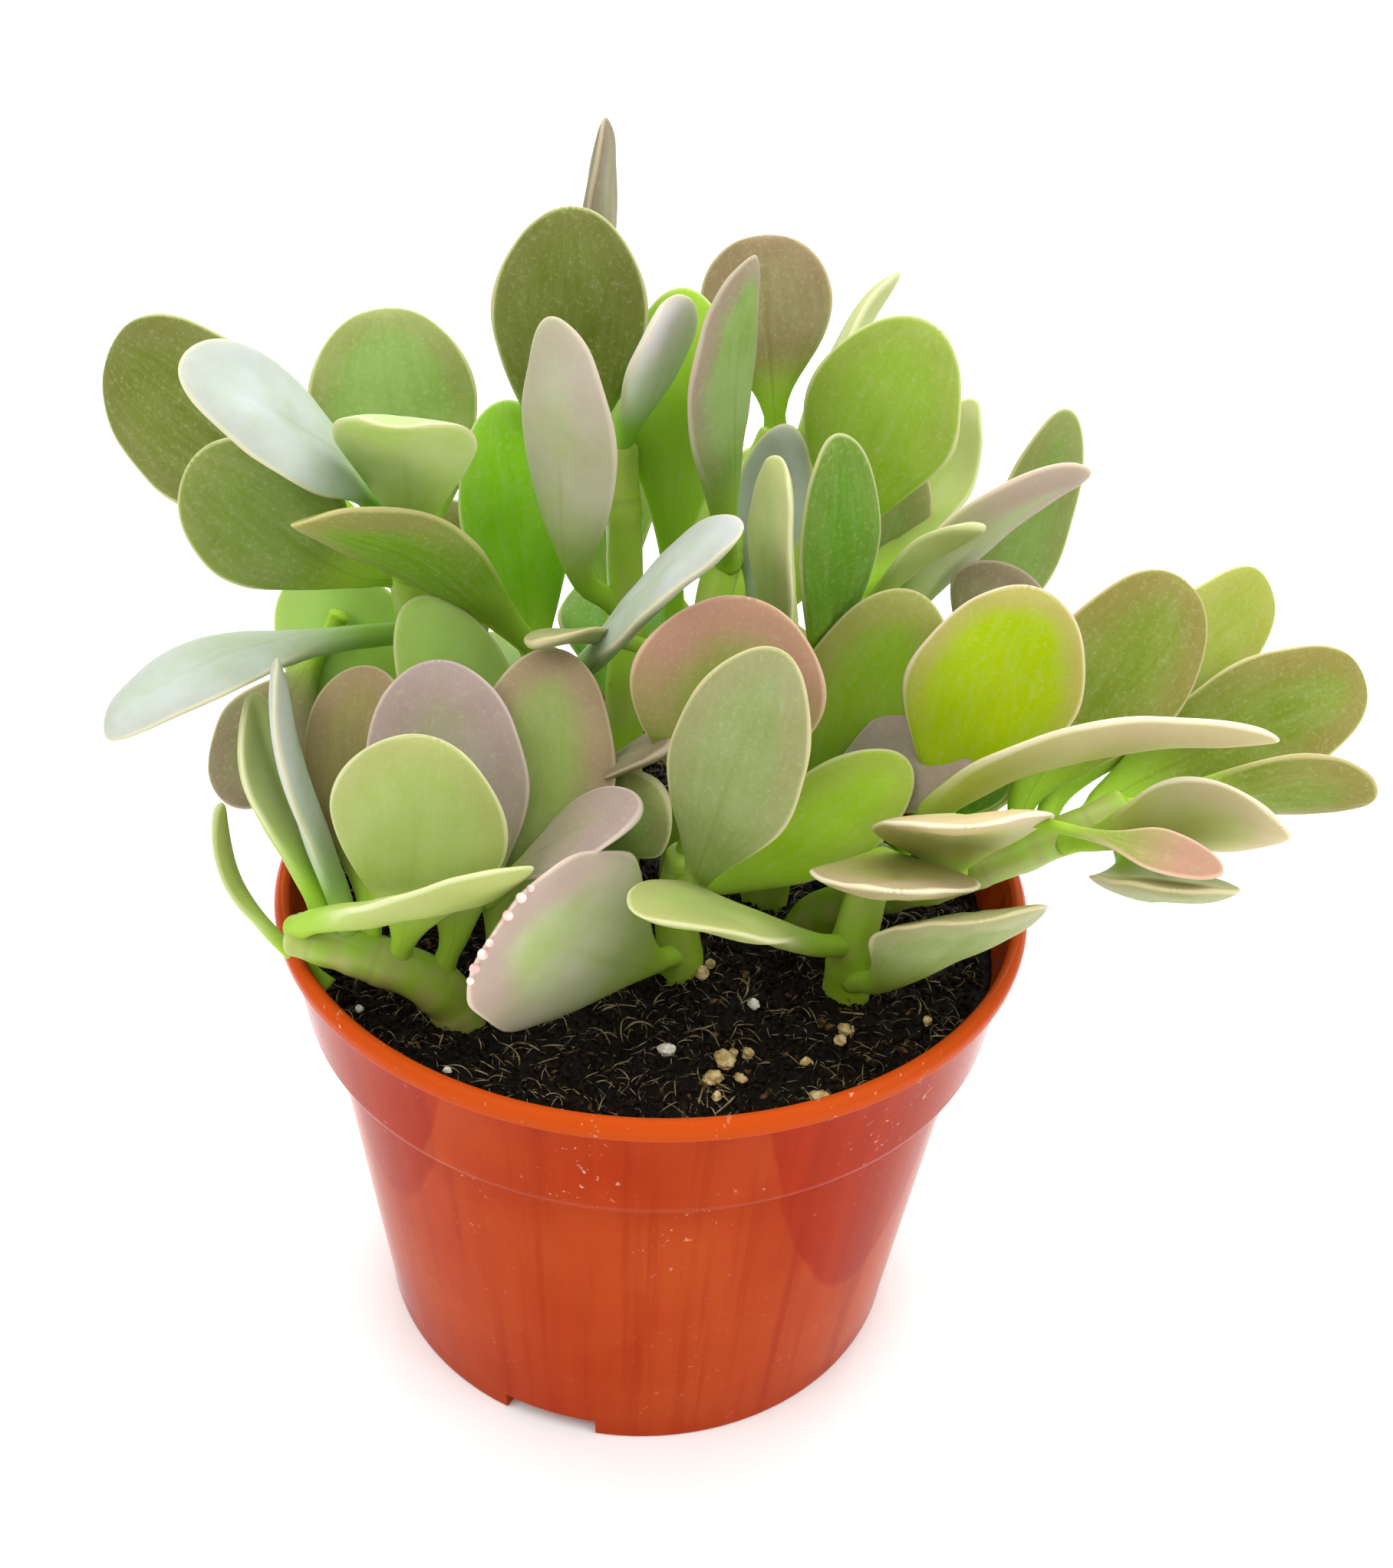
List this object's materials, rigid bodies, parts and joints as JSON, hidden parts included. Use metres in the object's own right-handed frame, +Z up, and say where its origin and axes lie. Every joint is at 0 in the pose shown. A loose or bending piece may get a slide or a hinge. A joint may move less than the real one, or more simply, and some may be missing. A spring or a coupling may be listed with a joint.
{
  "type": "potted weeping jade",
  "caption": "Potted weeping jade: fleshy paddle leaves on short thick stems, in dark soil in a glossy terracotta-orange nursery pot.",
  "frame": {"origin": "on the standing plane, under the middle of the whole plant's bounding box; the pot's own axis is 12.6 mm to the left of it", "axes": "+Z up, -Y towards the viewer at the front, +X to the right; the longest spread of the leaves runs along X"},
  "size_m": [0.1922, 0.118, 0.188],
  "materials": {
    "pot_plastic": "glossy moulded terracotta-orange plastic",
    "potting_soil": "moist dark peat soil",
    "stem_skin": "smooth fleshy plant skin",
    "leaf_skin": "smooth waxy succulent leaf"
  },
  "bodies": {
    "root": {"pot": "pot_plastic", "soil": "potting_soil", "stem_front_left": "stem_skin", "leaf_front_left_1": "leaf_skin", "leaf_front_left_2": "leaf_skin", "leaf_front_left_3": "leaf_skin", "leaf_front_left_4": "leaf_skin", "leaf_front_left_5": "leaf_skin", "leaf_front_left_6": "leaf_skin", "leaf_front_left_7": "leaf_skin", "stem_back_left": "stem_skin", "leaf_back_left_1": "leaf_skin", "leaf_back_left_2": "leaf_skin", "leaf_back_left_3": "leaf_skin", "leaf_back_left_4": "leaf_skin", "leaf_back_left_5": "leaf_skin", "leaf_back_left_6": "leaf_skin", "leaf_back_left_7": "leaf_skin", "stem_inner": "stem_skin", "leaf_inner_1": "leaf_skin", "leaf_inner_2": "leaf_skin", "leaf_inner_3": "leaf_skin", "leaf_inner_4": "leaf_skin", "stem_middle": "stem_skin", "leaf_middle_1": "leaf_skin", "leaf_middle_2": "leaf_skin", "leaf_middle_3": "leaf_skin", "leaf_middle_4": "leaf_skin", "stem_centre_tall": "stem_skin", "leaf_centre_tall_1": "leaf_skin", "leaf_centre_tall_2": "leaf_skin", "leaf_centre_tall_3": "leaf_skin", "leaf_centre_tall_4": "leaf_skin", "stem_centre_right": "stem_skin", "leaf_centre_right_1": "leaf_skin", "leaf_centre_right_2": "leaf_skin", "leaf_centre_right_3": "leaf_skin", "leaf_centre_right_4": "leaf_skin", "leaf_centre_right_5": "leaf_skin", "leaf_centre_right_6": "leaf_skin", "leaf_centre_right_7": "leaf_skin", "stem_right": "stem_skin", "leaf_right_1": "leaf_skin", "leaf_right_2": "leaf_skin", "leaf_right_3": "leaf_skin", "leaf_right_4": "leaf_skin", "leaf_right_5": "leaf_skin", "leaf_right_6": "leaf_skin", "leaf_right_7": "leaf_skin", "leaf_right_8": "leaf_skin", "leaf_right_9": "leaf_skin", "stem_front_right": "stem_skin", "leaf_front_right_1": "leaf_skin", "leaf_front_right_2": "leaf_skin", "leaf_front_right_3": "leaf_skin", "stem_centre": "stem_skin", "leaf_centre_1": "leaf_skin", "leaf_centre_2": "leaf_skin", "leaf_centre_3": "leaf_skin", "leaf_centre_4": "leaf_skin"}
  },
  "joints": []
}
